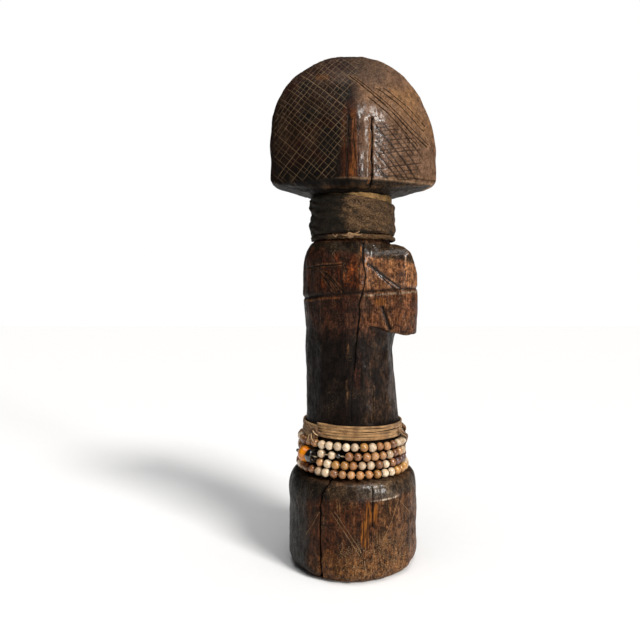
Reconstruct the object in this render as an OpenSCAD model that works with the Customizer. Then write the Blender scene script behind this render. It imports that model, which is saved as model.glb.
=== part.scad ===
// Carved wooden fertility figure with a hide collar, a wound waist cord and four rows of beads.
// +X is the way the figure faces, +Z is up, and the origin is the centre of the foot.
// Round the girdle, an angle is counted from -Y (the figure's right-hand side) towards +X.

/* [Figure] */
// Height of the crown above the foot
figure_h = 239.2; // [238:0.1:242]
// Radius of the round base
base_r = 30.6; // [30:0.1:31.4]
// Height at which the base's wall turns into its shoulder
base_wall_h = 36; // [34:0.5:37]
// Radius of the waist behind the beads
waist_r = 22.2; // [21.8:0.1:22.2]
// Lean of the waist towards the back, in degrees
waist_lean = 2.9; // [2.4:0.1:3.2]
// Radius of the torso
torso_r = 22.7; // [22.3:0.1:23]
// How far the breasts reach in front of the axis
breast_reach = 30.6; // [30:0.1:31.5]
// Height of the breasts' lower edge
breast_z = 107; // [105:0.1:109]
// Radius of the neck under the collar
neck_r = 17.8; // [17.4:0.1:17.8]
// Half the head's width
head_half_w = 39.4; // [38.5:0.1:40]
// Half the head's thickness at its middle ridge
head_half_t = 24; // [22:0.5:26]
// Roundness of the head's plan: 1 is a rhombus, 2 an ellipse
head_round = 1.35; // [1.25:0.05:1.6]
// Depth and width of the ring cut round the torso
ring_cut = 0.8; // [0.5:0.1:1]

/* [Neck collar] */
// Thickness of the pale lining strip
lining_t = 1.1; // [0.9:0.1:1.2]
// Thickness of the dark hide band
hide_t = 1.4; // [1.2:0.1:1.6]
// Height of the hide band
hide_h = 17.2; // [16:0.1:17.4]
// Angle over which the hide band laps over itself
hide_lap = 60; // [40:5:80]
// Radius of the thong under the band
thong_r = 1.25; // [1:0.05:1.3]

/* [Waist cord] */
// Radius of the bast cord
cord_r = 0.6; // [0.5:0.05:0.6]
// Turns of cord round the waist
cord_turns = 5; // [3:1:5]
// Distance from one turn to the next
cord_pitch = 1.27; // [1.25:0.01:1.3]

/* [Beads] */
// Radius of a round bead
bead_r = 1.9; // [1.7:0.05:1.9]
// Radius of a round bead's hole
bead_hole_r = 0.55; // [0.5:0.05:0.6]
// Radius of the threads of the four rows
thread_r = 0.35; // [0.25:0.05:0.35]
// Radius of the amber bead
amber_r = 3.6; // [3.2:0.1:3.6]
// Length of the amber bead along its thread
amber_l = 4.6; // [4:0.1:4.6]
// Radius of the black disc bead
disc_r = 3.2; // [2.8:0.1:3.2]
// Length of the black disc bead along its thread
disc_l = 3.2; // [2.8:0.1:3.2]
// Slope of the girdle, up towards the figure's back, in degrees
girdle_tilt = 1.6; // [0:0.1:1.6]

/* [Hidden] */
$fn = 48;

// Colours
wood_colour = [0.25, 0.14, 0.09];
hide_colour = [0.22, 0.18, 0.15];
pale_hide_colour = [0.70, 0.50, 0.27];
cord_colour = [0.74, 0.57, 0.36];
thread_colour = [0.82, 0.76, 0.64];

// Wood figure
foot_round = 5.2;
cord_zone_r = waist_r + 0.2;
cord_zone_top = 67.2;
lean_z = cord_zone_top - 1.2;
torso_x = -0.8;
torso_top = 150.8;
breast_round = 11;
breast_side = 10.5;
ring_cut_z = 126.5;
ring_cut_rise = 4.5;
head_bow_z = figure_h - head_half_w;
head_under_z = 172.7;
head_under_slope = 0.27;
head_rim_r = head_half_w - 1.8;
head_lens_w = head_half_w + 3.6;
lens_steps = 12;

// Neck collar
thong_z = torso_top + 0.2 + thong_r;
thong_path_r = neck_r + 0.6 + thong_r;
hide_z = thong_z + thong_r + 0.2;
hide_inner_r = neck_r + lining_t;
lining_z = hide_z + 0.3;
lining_gap = 0.05;
lining_top = head_under_z - 0.4;
hide_lap_angle = 130;

// Waist cord
cord_start_angle = -43;
cord_start_z = 67;
cord_path_r = cord_zone_r + 0.5 + cord_r;
cord_steps = 30;
cord_sides = 8;
knot_loop_r = 1.45;
knot_gap = 0.66;

// The four rows of beads, from the top down
row_z = [58.3, 54.2, 50.2, 46.4];
row_r = [24.45, 24.45, 24.45, 25.2];
row_step = [9.23, 9.23, 9.23, 9];
row_phase = [2.5, -3.7, 0.8, -1.2];
row_first = [8, 8, 8, 19];
// Kinds of bead, from the tie on the belly round the right-hand side to the back and on to the tie:
// c cream, t tan, h honey, o orange, b brown, d dark, - none
row_kinds = ["cccbtochcccccttbtcbohctbtccobthcbtoct",
             "ctbcttobb-c----tbctohbtccbotcbthctob",
             "dddbcbccohhct---tbcothbctdtcbohctbcto",
             "tcobhtcbtcchhhcchoottbccbbtcbtohctbcotbc"];
// Beads off the regular spacing: row, angle, radius, kind (k is the black spacer)
odd_beads = [[1, -34.6, bead_r, "c"], [1, -14.9, 1.15, "k"], [2, -64.3, bead_r - 0.1, "t"]];
thread_sides = 6;

// Bare stretch of the two middle threads behind the charm beads
bare_from = [0, -63, -59, 0];
bare_to = [0, -39, -41, 0];
bare_dip = [0, 1.5, 1.5, 0];
bare_rise = [0, 0.8, 0, 0];
bare_ramp = 2;

// Charm beads: amber, black disc and seed on a thread of their own
charm_path_r = 26.4;
charm_z = 52.8;
amber_angle = -54.5;
disc_angle = -44.5;
seed_angle = -73;
seed_path_r = 26.9;
seed_z = 52.4;
seed_r = 0.8;
charm_thread_r = 0.3;
charm_hole_r = 0.75;

// Tie that holds the ends of the upper three rows under the cord
tie_angle = 90;
tie_half = 5;
tie_r = 0.7;
tie_path_r = cord_path_r + cord_r + tie_r;
tie_bottom = 48.9;
tie_top = 64.6;

function unit(v) = v / norm(v);
function clamp01(x) = min(1, max(0, x));
function arc(c, r, a0, a1, n) = [for (i = [0:n]) let (a = a0 + (a1 - a0) * i / n) c + r * [cos(a), sin(a)]];

// A place on the girdle, which slopes up towards the back
function at(angle, r, z) = [r * sin(angle), -r * cos(angle), z - r * sin(angle) * tan(girdle_tilt)];
function along(angle) = unit([cos(angle), sin(angle), -cos(angle) * tan(girdle_tilt)]);

function bare(row, angle) = clamp01(min(angle - bare_from[row], bare_to[row] - angle) / bare_ramp);
function row_point(row, angle) =
    let (share = bare(row, angle))
        at(angle, row_r[row] - bare_dip[row] * share, row_z[row] + bare_rise[row] * share);
function bead_angle(row, i) = row_phase[row] + row_step[row] * (row_first[row] - i);

// One half of the head's plan, from one face's ridge to the other's, with a blunt end
function lens_y(x) = head_half_t * pow(1 - pow(x / head_lens_w, head_round), 1 / head_round);
function lens_x(i) = head_half_w * pow(i / lens_steps, 1.3);
lens_half = concat([for (i = [0:lens_steps]) [lens_x(i), -lens_y(lens_x(i))]],
                   [for (i = [lens_steps:-1:0]) [lens_x(i), lens_y(lens_x(i))]]);
lens_whole = concat([for (i = [0:2 * lens_steps]) lens_half[i]],
                    [for (i = [0:2 * lens_steps]) -lens_half[i]]);

// Tube of radius r along a path round the Z axis, as one closed polyhedron
module tube(path, r, sides, closed = false) {
    n = len(path);
    rings = closed ? n : n - 1;
    points = [for (i = [0:n - 1])
        let (before = path[closed ? (i + n - 1) % n : max(0, i - 1)],
             after = path[closed ? (i + 1) % n : min(n - 1, i + 1)],
             t = unit(after - before),
             outward = [path[i].x, path[i].y, 0],
             u = unit(outward - (outward * t) * t),
             v = cross(t, u))
        for (j = [0:sides - 1]) path[i] + r * (cos(360 * j / sides) * u + sin(360 * j / sides) * v)];
    walls = [for (i = [0:rings - 1], j = [0:sides - 1])
        let (a = i * sides, b = ((i + 1) % n) * sides, k = (j + 1) % sides)
        each [[a + j, b + k, b + j], [a + j, a + k, b + k]]];
    ends = [[for (j = [sides - 1:-1:0]) j], [for (j = [0:sides - 1]) (n - 1) * sides + j]];
    polyhedron(points = points, faces = closed ? walls : concat(walls, ends), convexity = 6);
}

// Children placed at a point with their Z axis along a direction
module facing(place, direction) {
    translate(place)
        rotate([0, acos(direction.z), atan2(direction.y, direction.x)])
            children();
}

// Round bead, cut flat at both ends if its length is less than its diameter, with a hole along Z
module bead(r, hole_r, length) {
    difference() {
        intersection() {
            sphere(r = r);
            cube([3 * r, 3 * r, length], center = true);
        }
        cylinder(r = hole_r, h = 3 * r, center = true);
    }
}

// Overhand knot, pulled into a flat rosette round the Z axis
module knot(loop_r, strand_gap, cord) {
    steps = 42;
    tube([for (i = [0:steps - 1])
            let (a = 360 * i / steps, reach = loop_r + strand_gap * cos(3 * a))
                [reach * cos(2 * a), reach * sin(2 * a), strand_gap * sin(3 * a)]],
         cord, thread_sides, closed = true);
}

// Base, shoulder and the round part of the waist
module lower_figure() {
    rotate_extrude()
        polygon(concat(
            [[0, 0]],
            arc([base_r - foot_round, foot_round], foot_round, -90, 0, 6),
            [[base_r - 0.2, base_wall_h], [30.1, 39], [29.4, 41.2], [28.3, 42.7], [27, 43.4], [25.6, 43.5]],
            [[waist_r + 1.4, 43.8], [waist_r + 0.3, 44.5], [waist_r, 46], [waist_r, 59.5]],
            [[cord_zone_r, 60.5], [cord_zone_r, cord_zone_top], [0, cord_zone_top]]));
}

module upper_waist() {
    translate([0, 0, lean_z])
        rotate([0, -waist_lean, 0])
            cylinder(r1 = cord_zone_r - 0.3, r2 = cord_zone_r - 2.05, h = 44);
}

module torso() {
    translate([torso_x, 0, 0])
        rotate_extrude()
            polygon([[0, 100], [torso_r - 2.9, 100], [torso_r - 0.8, 112], [torso_r, 128], [torso_r, 141.5],
                     [torso_r - 0.3, 144], [torso_r - 1.1, 146.6], [torso_r - 2.5, 149.2],
                     [torso_r - 4, torso_top], [0, torso_top]]);
}

module breast_plan(inset) {
    for (side = [-1, 1])
        translate([breast_reach - breast_round, side * breast_side])
            circle(r = breast_round - inset);
    translate([0, -breast_side - breast_round + inset])
        square([breast_reach - breast_round, 2 * (breast_side + breast_round - inset)]);
}

module breasts() {
    corner = 2.2;
    intersection() {
        rotate([90, 0, 0])
            linear_extrude(60, center = true)
                polygon(concat(
                    [[4, 113], [17, breast_z + 1.6], [24, breast_z]],
                    arc([breast_reach - corner, breast_z + corner], corner, -80, 0, 4),
                    [[breast_reach, 128], [breast_reach - 0.5, 136.5], [breast_reach - 2, 141.8],
                     [breast_reach - 4.2, 145.6], [breast_reach - 7.6, 148.8], [18, 150.4], [4, 147]]));
        linear_extrude(200)
            breast_plan(0);
        rotate([90, 0, 90])
            linear_extrude(60)
                for (side = [-1, 1])
                    translate([side * breast_side, 0]) {
                        translate([0, torso_top - breast_round - 1])
                            circle(r = breast_round);
                        translate([-breast_round, 0])
                            square([2 * breast_round, torso_top - breast_round - 1]);
                    }
    }
}

module ring_groove() {
    translate([0, 0, ring_cut_z])
        rotate([0, -ring_cut_rise, 0])
            linear_extrude(ring_cut, center = true)
                difference() {
                    square(90, center = true);
                    translate([torso_x, 0])
                        circle(r = torso_r - ring_cut);
                    breast_plan(ring_cut);
                }
}

module neck() {
    translate([0, 0, 148])
        cylinder(r = neck_r, h = head_under_z + 2 - 148);
}

module head() {
    intersection() {
        translate([0, 0, 168])
            linear_extrude(head_bow_z - 168)
                polygon(lens_whole);
        rotate_extrude()
            polygon([[0, head_under_z], [neck_r + 1.2, head_under_z],
                     [head_rim_r, head_under_z + head_under_slope * (head_rim_r - neck_r - 1.2)],
                     [head_rim_r + 12, head_under_z + head_under_slope * (head_rim_r - neck_r - 1.2) + 12],
                     [head_rim_r + 12, head_bow_z + 5], [0, head_bow_z + 5]]);
    }
    translate([0, 0, head_bow_z])
        rotate([90, 0, 0])
            rotate_extrude(angle = 180)
                polygon(lens_half);
}

module wood_figure() {
    color(wood_colour) {
        difference() {
            union() {
                lower_figure();
                upper_waist();
                torso();
                breasts();
                neck();
            }
            ring_groove();
        }
        head();
    }
}

module neck_lining_strip() {
    color(pale_hide_colour)
        translate([0, 0, lining_z])
            difference() {
                cylinder(r = hide_inner_r, h = lining_top - lining_z);
                translate([0, 0, -1])
                    cylinder(r = neck_r + lining_gap, h = lining_top - lining_z + 2);
            }
}

module neck_hide_wrap() {
    color(hide_colour)
        translate([0, 0, hide_z]) {
            rotate_extrude()
                translate([hide_inner_r, 0])
                    square([hide_t, hide_h]);
            rotate([0, 0, hide_lap_angle])
                rotate_extrude(angle = hide_lap)
                    translate([hide_inner_r + hide_t / 2, 0.6])
                        square([hide_t, hide_h - 1.2]);
        }
}

module neck_thong() {
    color(hide_colour)
        translate([0, 0, thong_z])
            rotate_extrude()
                translate([thong_path_r, 0])
                    circle(r = thong_r);
}

module neck_thong_knot() {
    color(pale_hide_colour)
        facing([-1, -thong_path_r - thong_r - 0.9, thong_z], [0, -1, 0])
            knot(0.9, 0.46, 0.4);
}

module waist_cord() {
    steps = cord_turns * cord_steps;
    color(cord_colour)
        tube([for (i = [0:steps])
                let (turns = i / cord_steps)
                    at(cord_start_angle + 360 * turns, cord_path_r, cord_start_z - cord_pitch * turns)],
             cord_r, cord_sides);
}

module waist_cord_knot() {
    color(cord_colour)
        facing(at(cord_start_angle, cord_path_r + 2 * cord_r + knot_gap, 63.8),
               [sin(cord_start_angle), -cos(cord_start_angle), 0])
            knot(knot_loop_r, knot_gap, cord_r);
}

module girdle_tie() {
    color(cord_colour) {
        for (step = [-1, 0, 1])
            translate(at(tie_angle + step * tie_half, tie_path_r, tie_bottom))
                cylinder(r = tie_r, h = tie_top - tie_bottom);
        for (z = [50.6, 56.3, 62])
            translate([0, 0, z])
                rotate([0, 0, -tie_half - 3])
                    rotate_extrude(angle = 2 * tie_half + 6)
                        translate([tie_path_r + 0.4, 0])
                            circle(r = 0.5);
    }
}

module open_row_thread(row) {
    start = tie_angle - tie_half;
    steps = (360 - 2 * tie_half) / bare_ramp;
    color(thread_colour)
        tube([for (i = [0:steps]) row_point(row, start - bare_ramp * i)], thread_r, thread_sides);
}

module top_row_thread() {
    open_row_thread(0);
}

module second_row_thread() {
    open_row_thread(1);
}

module third_row_thread() {
    open_row_thread(2);
}

module bottom_row_thread() {
    steps = 60;
    color(thread_colour)
        tube([for (i = [0:steps - 1]) row_point(3, -360 * i / steps)],
             thread_r, thread_sides, closed = true);
}

// Every round bead of one kind, each a solid of its own
module beads_of(kind) {
    for (row = [0:3], i = [0:len(row_kinds[row]) - 1])
        if (row_kinds[row][i] == kind)
            let (angle = bead_angle(row, i))
                facing(row_point(row, angle), along(angle))
                    bead(bead_r, bead_hole_r, 2 * bead_r);
    for (odd = odd_beads)
        if (odd[3] == kind)
            facing(row_point(odd[0], odd[1]), along(odd[1]))
                bead(odd[2], bead_hole_r, 2 * odd[2]);
}

module cream_beads() {
    color([0.86, 0.79, 0.66])
        beads_of("c");
}

module tan_beads() {
    color([0.72, 0.52, 0.31])
        beads_of("t");
}

module honey_beads() {
    color([0.82, 0.60, 0.30])
        beads_of("h");
}

module orange_beads() {
    color([0.78, 0.47, 0.24])
        beads_of("o");
}

module brown_beads() {
    color([0.52, 0.31, 0.17])
        beads_of("b");
}

module dark_beads() {
    color([0.27, 0.17, 0.16])
        beads_of("d");
}

module black_spacer_bead() {
    color([0.06, 0.06, 0.07])
        beads_of("k");
}

module amber_bead() {
    color([0.90, 0.58, 0.10])
        facing(at(amber_angle, charm_path_r, charm_z), along(amber_angle))
            bead(amber_r, charm_hole_r, amber_l);
}

module black_disc_bead() {
    color([0.06, 0.06, 0.07])
        facing(at(disc_angle, charm_path_r, charm_z), along(disc_angle))
            bead(disc_r, charm_hole_r, disc_l);
}

// The thread runs straight through the amber bead and the disc, and bends between them
module charm_thread() {
    middle = (amber_angle + disc_angle) / 2;
    bend_r = charm_path_r / cos((disc_angle - amber_angle) / 2);
    color(thread_colour)
        tube([at(seed_angle - 2.6, seed_path_r, seed_z),
              at(seed_angle + 2.6, seed_path_r, seed_z),
              at(amber_angle, charm_path_r, charm_z) - (amber_l / 2 + 0.3) * along(amber_angle),
              at(middle, bend_r, charm_z),
              at(disc_angle, charm_path_r, charm_z) + (disc_l / 2 + 0.3) * along(disc_angle),
              at(-38.8, 25.3, 52.5)],
             charm_thread_r, thread_sides);
}

module seed_bead() {
    color([0.05, 0.04, 0.04])
        facing((at(seed_angle - 2.6, seed_path_r, seed_z) + at(seed_angle + 2.6, seed_path_r, seed_z)) / 2,
               along(seed_angle))
            bead(seed_r, charm_thread_r + 0.12, 2 * seed_r);
}

wood_figure();
neck_lining_strip();
neck_hide_wrap();
neck_thong();
neck_thong_knot();
waist_cord();
waist_cord_knot();
girdle_tie();
top_row_thread();
second_row_thread();
third_row_thread();
bottom_row_thread();
cream_beads();
tan_beads();
honey_beads();
orange_beads();
brown_beads();
dark_beads();
black_spacer_bead();
amber_bead();
black_disc_bead();
charm_thread();
seed_bead();
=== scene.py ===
"""Carved wooden figure with a hide collar, a wound waist cord and a girdle of beads.

Helpers work in millimetres; meshes are written in metres.
"""

from math import asin, atan2, ceil, cos, pi, radians, sin, tan

import bmesh
import bpy
import numpy as np
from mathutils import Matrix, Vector
from mathutils.bvhtree import BVHTree


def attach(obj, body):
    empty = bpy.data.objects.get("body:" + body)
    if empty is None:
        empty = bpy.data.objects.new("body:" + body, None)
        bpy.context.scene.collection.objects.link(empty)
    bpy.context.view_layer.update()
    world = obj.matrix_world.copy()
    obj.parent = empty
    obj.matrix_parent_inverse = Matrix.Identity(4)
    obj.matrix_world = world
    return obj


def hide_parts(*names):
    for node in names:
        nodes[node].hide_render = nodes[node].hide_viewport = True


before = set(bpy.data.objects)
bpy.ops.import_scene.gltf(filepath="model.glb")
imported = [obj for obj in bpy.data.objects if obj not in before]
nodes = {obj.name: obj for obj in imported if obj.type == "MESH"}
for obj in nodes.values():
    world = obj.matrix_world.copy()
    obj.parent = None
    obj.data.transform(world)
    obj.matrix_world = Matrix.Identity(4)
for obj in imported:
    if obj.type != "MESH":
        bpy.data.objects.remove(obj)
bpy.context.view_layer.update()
MM = 0.001
TILT = tan(radians(1.6))  # slope of the girdle, up towards the back
rng = np.random.default_rng(11)
LATTICE = rng.uniform(-1, 1, (32, 32, 32))


# ---------------------------------------------------------------- numbers and meshes


def noise(p, size, octaves=1, seed=0.0, stretch=(1, 1, 1)):
    """Smooth noise between about -1 and 1 at points p, with features about size across."""
    p = np.asarray(p, float) / (size * np.array(stretch, float))
    total, scale, reach = 0, 1.0, 0.0
    for octave in range(octaves):
        q = p * 2**octave + 5.13 * seed + 9.7 * octave
        cell = np.floor(q).astype(int)
        f = q - cell
        f = f * f * (3 - 2 * f)
        a, b = cell % 32, (cell + 1) % 32
        ends = [(a[..., k], b[..., k]) for k in range(3)]
        value = 0
        for i in (0, 1):
            for j in (0, 1):
                for k in (0, 1):
                    weight = (
                        (f[..., 0] if i else 1 - f[..., 0])
                        * (f[..., 1] if j else 1 - f[..., 1])
                        * (f[..., 2] if k else 1 - f[..., 2])
                    )
                    value = value + weight * LATTICE[ends[0][i], ends[1][j], ends[2][k]]
        total = total + scale * value
        reach += scale
        scale *= 0.5
    return 1.6 * total / reach


def step(x, low, high):
    """0 below low, 1 above high, smooth between."""
    t = np.clip((np.asarray(x, float) - low) / (high - low), 0, 1)
    return t * t * (3 - 2 * t)


def bump(x, centre, width):
    """1 at centre, 0 beyond width on either side."""
    return step(np.abs(np.asarray(x, float) - centre), width, 0)


def mix(a, b, t):
    """a where t is 0, b where t is 1, for colours or numbers per point."""
    t = np.asarray(t)[..., None] if np.ndim(b) and np.ndim(t) else t
    return a * (1 - t) + np.asarray(b, float) * t


def srgb(r, g, b):
    """An sRGB colour of 0..255 as linear numbers."""
    c = np.array([r, g, b]) / 255
    return np.where(c < 0.04045, c / 12.92, ((c + 0.055) / 1.055) ** 2.4)


def read(items, name, width, kind=float):
    """A row of numbers for each vertex or edge of a mesh."""
    out = np.empty(len(items) * width, kind)
    items.foreach_get(name, out)
    return out.reshape(-1, width)


def points_of(mesh):
    return read(mesh.vertices, "co", 3) / MM


def normals_of(mesh):
    return read(mesh.vertices, "normal", 3)


def edges_of(mesh):
    return read(mesh.edges, "vertices", 2, int)


def put_points(mesh, co):
    mesh.vertices.foreach_set("co", (co * MM).ravel())
    mesh.update()


def put_value(mesh, name, values):
    values = np.asarray(values, float)
    if values.ndim == 1:
        mesh.attributes.new(name, "FLOAT", "POINT").data.foreach_set("value", values)
    else:
        mesh.attributes.new(name, "FLOAT_VECTOR", "POINT").data.foreach_set("vector", values.ravel())


def blur(values, edges, rounds, weight=1.0):
    """values averaged with their neighbours along edges, rounds times."""
    out = np.array(values, float)
    flat = out.reshape(len(out), -1)
    count = np.bincount(edges.ravel(), minlength=len(out))
    for _ in range(rounds):
        for k in range(flat.shape[1]):
            near = np.bincount(edges[:, 0], flat[edges[:, 1], k], len(out))
            near += np.bincount(edges[:, 1], flat[edges[:, 0], k], len(out))
            flat[:, k] += weight * (near / count - flat[:, k])
    return flat.reshape(out.shape)


def new_object(name, points, faces, material, body=None, replaced=(), values=()):
    """A smooth-shaded mesh object of points in mm that rides on a body and replaces CAD nodes."""
    mesh = bpy.data.meshes.new(name)
    mesh.from_pydata((np.asarray(points) * MM).tolist(), [], faces)
    for key, value in dict(values).items():
        put_value(mesh, key, value)
    return place(mesh, name, material, body, replaced)


def place(mesh, name, material, body=None, replaced=()):
    mesh.polygons.foreach_set("use_smooth", [True] * len(mesh.polygons))
    mesh.materials.clear()
    mesh.materials.append(material)
    obj = bpy.data.objects.new(name, mesh)
    bpy.context.scene.collection.objects.link(obj)
    if body:
        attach(obj, body)
    if replaced:
        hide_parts(*replaced)
    return obj


def at(angle, r, z):
    """A place on the girdle: angle from -Y towards +X in degrees; it slopes up towards the back."""
    a = radians(angle)
    return np.array([r * sin(a), -r * cos(a), z - r * sin(a) * TILT])


def unit(v):
    return v / np.linalg.norm(v)


def tube(path, radius, sides=8, closed=False, flat=None, flatness=1.0, start=0.0):
    """Points, faces and fibre coordinates of a tube along path. radius is a number or one per point.

    flat is a direction per point in which the section is flatness times as thick. The fibre
    coordinates are the place in the section and the length along the tube, counted from start.
    """
    path = np.asarray(path, float)
    n = len(path)
    radius = np.broadcast_to(radius, (n,))
    if closed:
        tangent = np.roll(path, -1, 0) - np.roll(path, 1, 0)
    else:
        tangent = np.gradient(path, axis=0)
    tangent /= np.linalg.norm(tangent, axis=1)[:, None]
    if flat is None:
        across = np.zeros_like(path)
        last = unit(np.cross(tangent[0], [0.3, 0.1, 1.0]))
        for i in range(n):
            last = unit(last - tangent[i] * np.dot(last, tangent[i]))
            across[i] = last
    else:
        across = flat - tangent * np.sum(flat * tangent, 1)[:, None]
        across /= np.linalg.norm(across, axis=1)[:, None]
    other = np.cross(tangent, across)
    turn = 2 * pi * np.arange(sides) / sides
    ring = (
        across[:, None] * (np.cos(turn) * flatness)[None, :, None]
        + other[:, None] * np.sin(turn)[None, :, None]
    )
    points = (path[:, None] + ring * radius[:, None, None]).reshape(-1, 3)
    length = np.concatenate([[0], np.cumsum(np.linalg.norm(np.diff(path, axis=0), axis=1))]) + start
    fibre = np.stack(
        [
            np.repeat(np.cos(turn)[None], n, 0),
            np.repeat(np.sin(turn)[None], n, 0),
            np.repeat(length[:, None], sides, 1),
        ],
        2,
    ).reshape(-1, 3)
    faces = []
    for i in range(n if closed else n - 1):
        a, b = i * sides, ((i + 1) % n) * sides
        for j in range(sides):
            k = (j + 1) % sides
            faces.append((a + j, a + k, b + k, b + j))
    if not closed:
        faces.append(tuple(range(sides))[::-1])
        faces.append(tuple((n - 1) * sides + j for j in range(sides)))
    return points, faces, fibre


def join(parts):
    """One set of points, faces and values from several."""
    points, faces, values, base = [], [], [], 0
    for p, f, v in parts:
        points.append(p)
        values.append(v)
        faces += [tuple(i + base for i in face) for face in f]
        base += len(p)
    return np.concatenate(points), faces, np.concatenate(values)


def fibre_object(parts, name, material, body, replaced):
    """One piece from tubes, with the coordinates that its fibres run along."""
    points, faces, fibre = join(parts)
    return new_object(name, points, faces, material, body, replaced, {"fibre": fibre})


def smooth_path(points, count):
    """count points along a Catmull-Rom curve through points."""
    p = np.asarray(points, float)
    spans = len(p) - 1
    t = np.linspace(0, spans, count)
    i = np.minimum(t.astype(int), spans - 1)
    f = (t - i)[:, None]
    a, b, c, d = (p[np.clip(i + k, 0, spans)] for k in (-1, 0, 1, 2))
    return 0.5 * (2 * b + (c - a) * f + (2 * a - 5 * b + 4 * c - d) * f**2 + (3 * b - a - 3 * c + d) * f**3)


def ring_faces(columns, rows):
    """Faces of a surface closed both ways, with rows points in each column."""
    faces = []
    for i in range(columns):
        a, b = i * rows, ((i + 1) % columns) * rows
        for j in range(rows):
            k = (j + 1) % rows
            faces.append((a + j, b + j, b + k, a + k))
    return faces


def around(turn, radius, z):
    """Places at the angle turn round Z, in radians from +X."""
    return np.stack(np.broadcast_arrays(radius * np.cos(turn), radius * np.sin(turn), z), -1)


# ---------------------------------------------------------------- materials


class Look:
    """A node material built up call by call."""

    def __init__(self, name, roughness=0.5, specular=0.5, coat=0.0, coat_roughness=0.3):
        self.material = bpy.data.materials.new(name)
        self.material.use_nodes = True
        self.tree = self.material.node_tree
        self.shader = self.tree.nodes["Principled BSDF"]
        self.shader.inputs["Roughness"].default_value = roughness
        self.shader.inputs["Specular IOR Level"].default_value = specular
        self.shader.inputs["Coat Weight"].default_value = coat
        self.shader.inputs["Coat Roughness"].default_value = coat_roughness

    def put(self, socket, value):
        if isinstance(value, bpy.types.NodeSocket):
            self.tree.links.new(value, socket)
        elif isinstance(value, (tuple, list, np.ndarray)):
            value = tuple(float(v) for v in value)
            wide = socket.type == "RGBA" and len(value) == 3
            socket.default_value = value + (1.0,) if wide else value
        else:
            socket.default_value = value

    def set(self, name, value):
        self.put(self.shader.inputs[name], value)

    def node(self, kind, **settings):
        made = self.tree.nodes.new("ShaderNode" + kind)
        for key, value in settings.items():
            setattr(made, key, value)
        return made

    def value(self, name, output="Fac"):
        return self.node("Attribute", attribute_name=name).outputs[output]

    def coords(self, stretch=(1, 1, 1), source=None):
        mapping = self.node("Mapping")
        self.put(mapping.inputs["Scale"], stretch)
        if source is None:
            source = self.node("TexCoord").outputs["Object"]
        self.put(mapping.inputs["Vector"], source)
        return mapping.outputs["Vector"]

    def noise(self, size, detail=3.0, stretch=(1, 1, 1), source=None, roughness=0.55, distortion=0.0):
        """Noise of 0..1 with features size mm across."""
        made = self.node("TexNoise")
        self.put(made.inputs["Vector"], self.coords(stretch, source))
        self.put(made.inputs["Scale"], 1 / (size * MM) if source is None else 1 / size)
        self.put(made.inputs["Detail"], detail)
        self.put(made.inputs["Roughness"], roughness)
        self.put(made.inputs["Distortion"], distortion)
        return made.outputs["Fac"]

    def seams(self, size):
        """Distance from the seams between cells size mm across."""
        made = self.node("TexVoronoi", feature="DISTANCE_TO_EDGE")
        self.put(made.inputs["Vector"], self.coords())
        self.put(made.inputs["Scale"], 1 / (size * MM))
        return made.outputs["Distance"]

    def range(self, value, low, high, out_low=0.0, out_high=1.0):
        """A smooth step from out_low at low to out_high at high."""
        made = self.node("MapRange", interpolation_type="SMOOTHSTEP")
        sockets = ("Value", "From Min", "From Max", "To Min", "To Max")
        for key, v in zip(sockets, (value, low, high, out_low, out_high)):
            self.put(made.inputs[key], v)
        return made.outputs["Result"]

    def math(self, operation, a, b=0.0, clamp=False):
        made = self.node("Math", operation=operation, use_clamp=clamp)
        self.put(made.inputs[0], a)
        self.put(made.inputs[1], b)
        return made.outputs[0]

    def mix(self, amount, a, b, blend="MIX"):
        made = self.node("Mix", data_type="RGBA", blend_type=blend)
        self.put(made.inputs["Factor"], amount)
        self.put(made.inputs[6], a)
        self.put(made.inputs[7], b)
        return made.outputs[2]

    def vary(self, amount, colour, where, dark, light):
        """colour times a tone between dark and light, as far as amount says."""
        return self.mix(amount, colour, self.mix(where, dark, light), "MULTIPLY")

    def bump(self, height, distance, strength=1.0, under=None):
        """Normals of a height of 0..1 that stands for distance mm."""
        made = self.node("Bump")
        self.put(made.inputs["Strength"], strength)
        self.put(made.inputs["Distance"], distance * MM)
        self.put(made.inputs["Height"], height)
        if under is not None:
            self.put(made.inputs["Normal"], under)
        return made.outputs["Normal"]


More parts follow.
